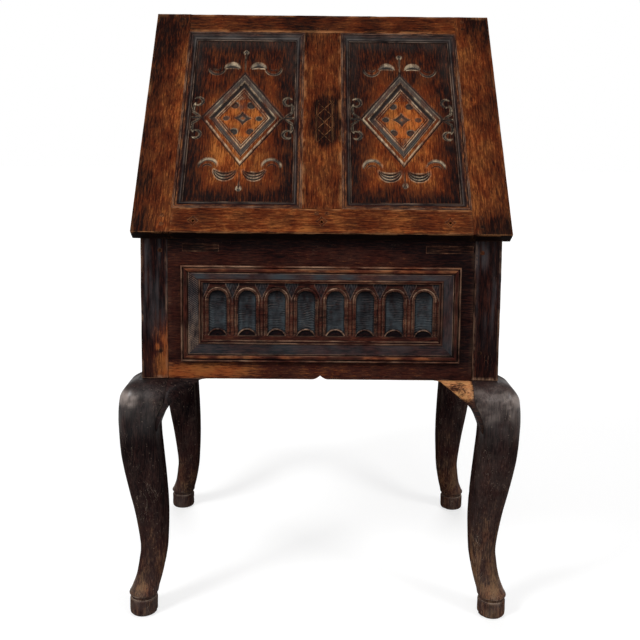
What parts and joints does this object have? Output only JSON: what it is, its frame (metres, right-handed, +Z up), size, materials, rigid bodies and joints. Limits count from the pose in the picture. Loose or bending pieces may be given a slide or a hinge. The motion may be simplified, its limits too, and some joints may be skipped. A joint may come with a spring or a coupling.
{
  "type": "bible box desk on stand",
  "caption": "Oak desk box with a carved, hinged sloping lid and an arcaded front, on a stand of four cabriole legs with knee brackets.",
  "frame": {"origin": "on the floor, under the middle of the case and of the four feet", "axes": "+Z is up; -Y is the front, where the slope falls to; +X is to the right seen from the front"},
  "size_m": [0.72, 0.546, 1.118],
  "materials": {
    "oak_leg": "old dark wax over nearly black oak, rubbed",
    "oak_case": "old dark wax over nearly black oak",
    "oak_carved": "dark carved oak with rubbed edges",
    "oak_patch": "paler let-in repair",
    "oak_inside": "bare aged oak",
    "oak_peg": "end grain, waxed",
    "oak_lid": "warm waxed oak with darkened edges",
    "oak_panel": "warm waxed oak, dark towards the edges",
    "oak_moulding": "dark oak with rubbed arrises",
    "iron": "dark wrought iron"
  },
  "bodies": {
    "case": {"leg_front_left": "oak_leg", "leg_front_right": "oak_leg", "leg_rear_left": "oak_leg", "leg_rear_right": "oak_leg", "front_bracket_left": "oak_leg", "front_bracket_right": "oak_leg", "side_bracket_front_left": "oak_leg", "side_bracket_front_right": "oak_leg", "side_bracket_rear_left": "oak_leg", "side_bracket_rear_right": "oak_leg", "post_front_left": "oak_case", "post_front_right": "oak_case", "post_rear_left": "oak_case", "post_rear_right": "oak_case", "front_board": "oak_case", "side_lower_left": "oak_case", "side_lower_right": "oak_case", "side_upper_left": "oak_case", "side_upper_right": "oak_case", "top_board": "oak_case", "carved_front_panel": "oak_carved", "front_moulding_top": "oak_carved", "front_moulding_bottom": "oak_carved", "front_moulding_left": "oak_carved", "front_moulding_right": "oak_carved", "patch_left": "oak_patch", "patch_right": "oak_patch", "back_board_lower": "oak_inside", "back_board_middle": "oak_inside", "back_board_upper": "oak_inside", "bottom_board": "oak_inside", "bottom_ledger_front": "oak_inside", "bottom_ledger_rear": "oak_inside", "case_pegs": "oak_peg", "hinge_left_case_leaf": "iron", "hinge_right_case_leaf": "iron", "hinge_pin_left": "iron", "hinge_pin_right": "iron", "hinge_screws_case": "iron"},
    "lid": {"lid_stile_left": "oak_lid", "lid_stile_right": "oak_lid", "lid_top_rail": "oak_lid", "lid_bottom_rail": "oak_lid", "lid_muntin": "oak_lid", "lid_panel_left": "oak_panel", "lid_panel_right": "oak_panel", "lid_moulding_left_top": "oak_moulding", "lid_moulding_left_bottom": "oak_moulding", "lid_moulding_left_outer": "oak_moulding", "lid_moulding_left_inner": "oak_moulding", "lid_moulding_right_top": "oak_moulding", "lid_moulding_right_bottom": "oak_moulding", "lid_moulding_right_outer": "oak_moulding", "lid_moulding_right_inner": "oak_moulding", "lid_pegs": "oak_peg", "hinge_left_lid_leaf": "iron", "hinge_right_lid_leaf": "iron", "hinge_screws_lid": "iron"}
  },
  "joints": [
    {"name": "lid_hinge", "type": "hinge", "parent": "case", "child": "lid", "pos_m": [0, 0.05406, 1.10682], "axis": [-1, 0, 0], "range_deg": [0, 155]}
  ]
}
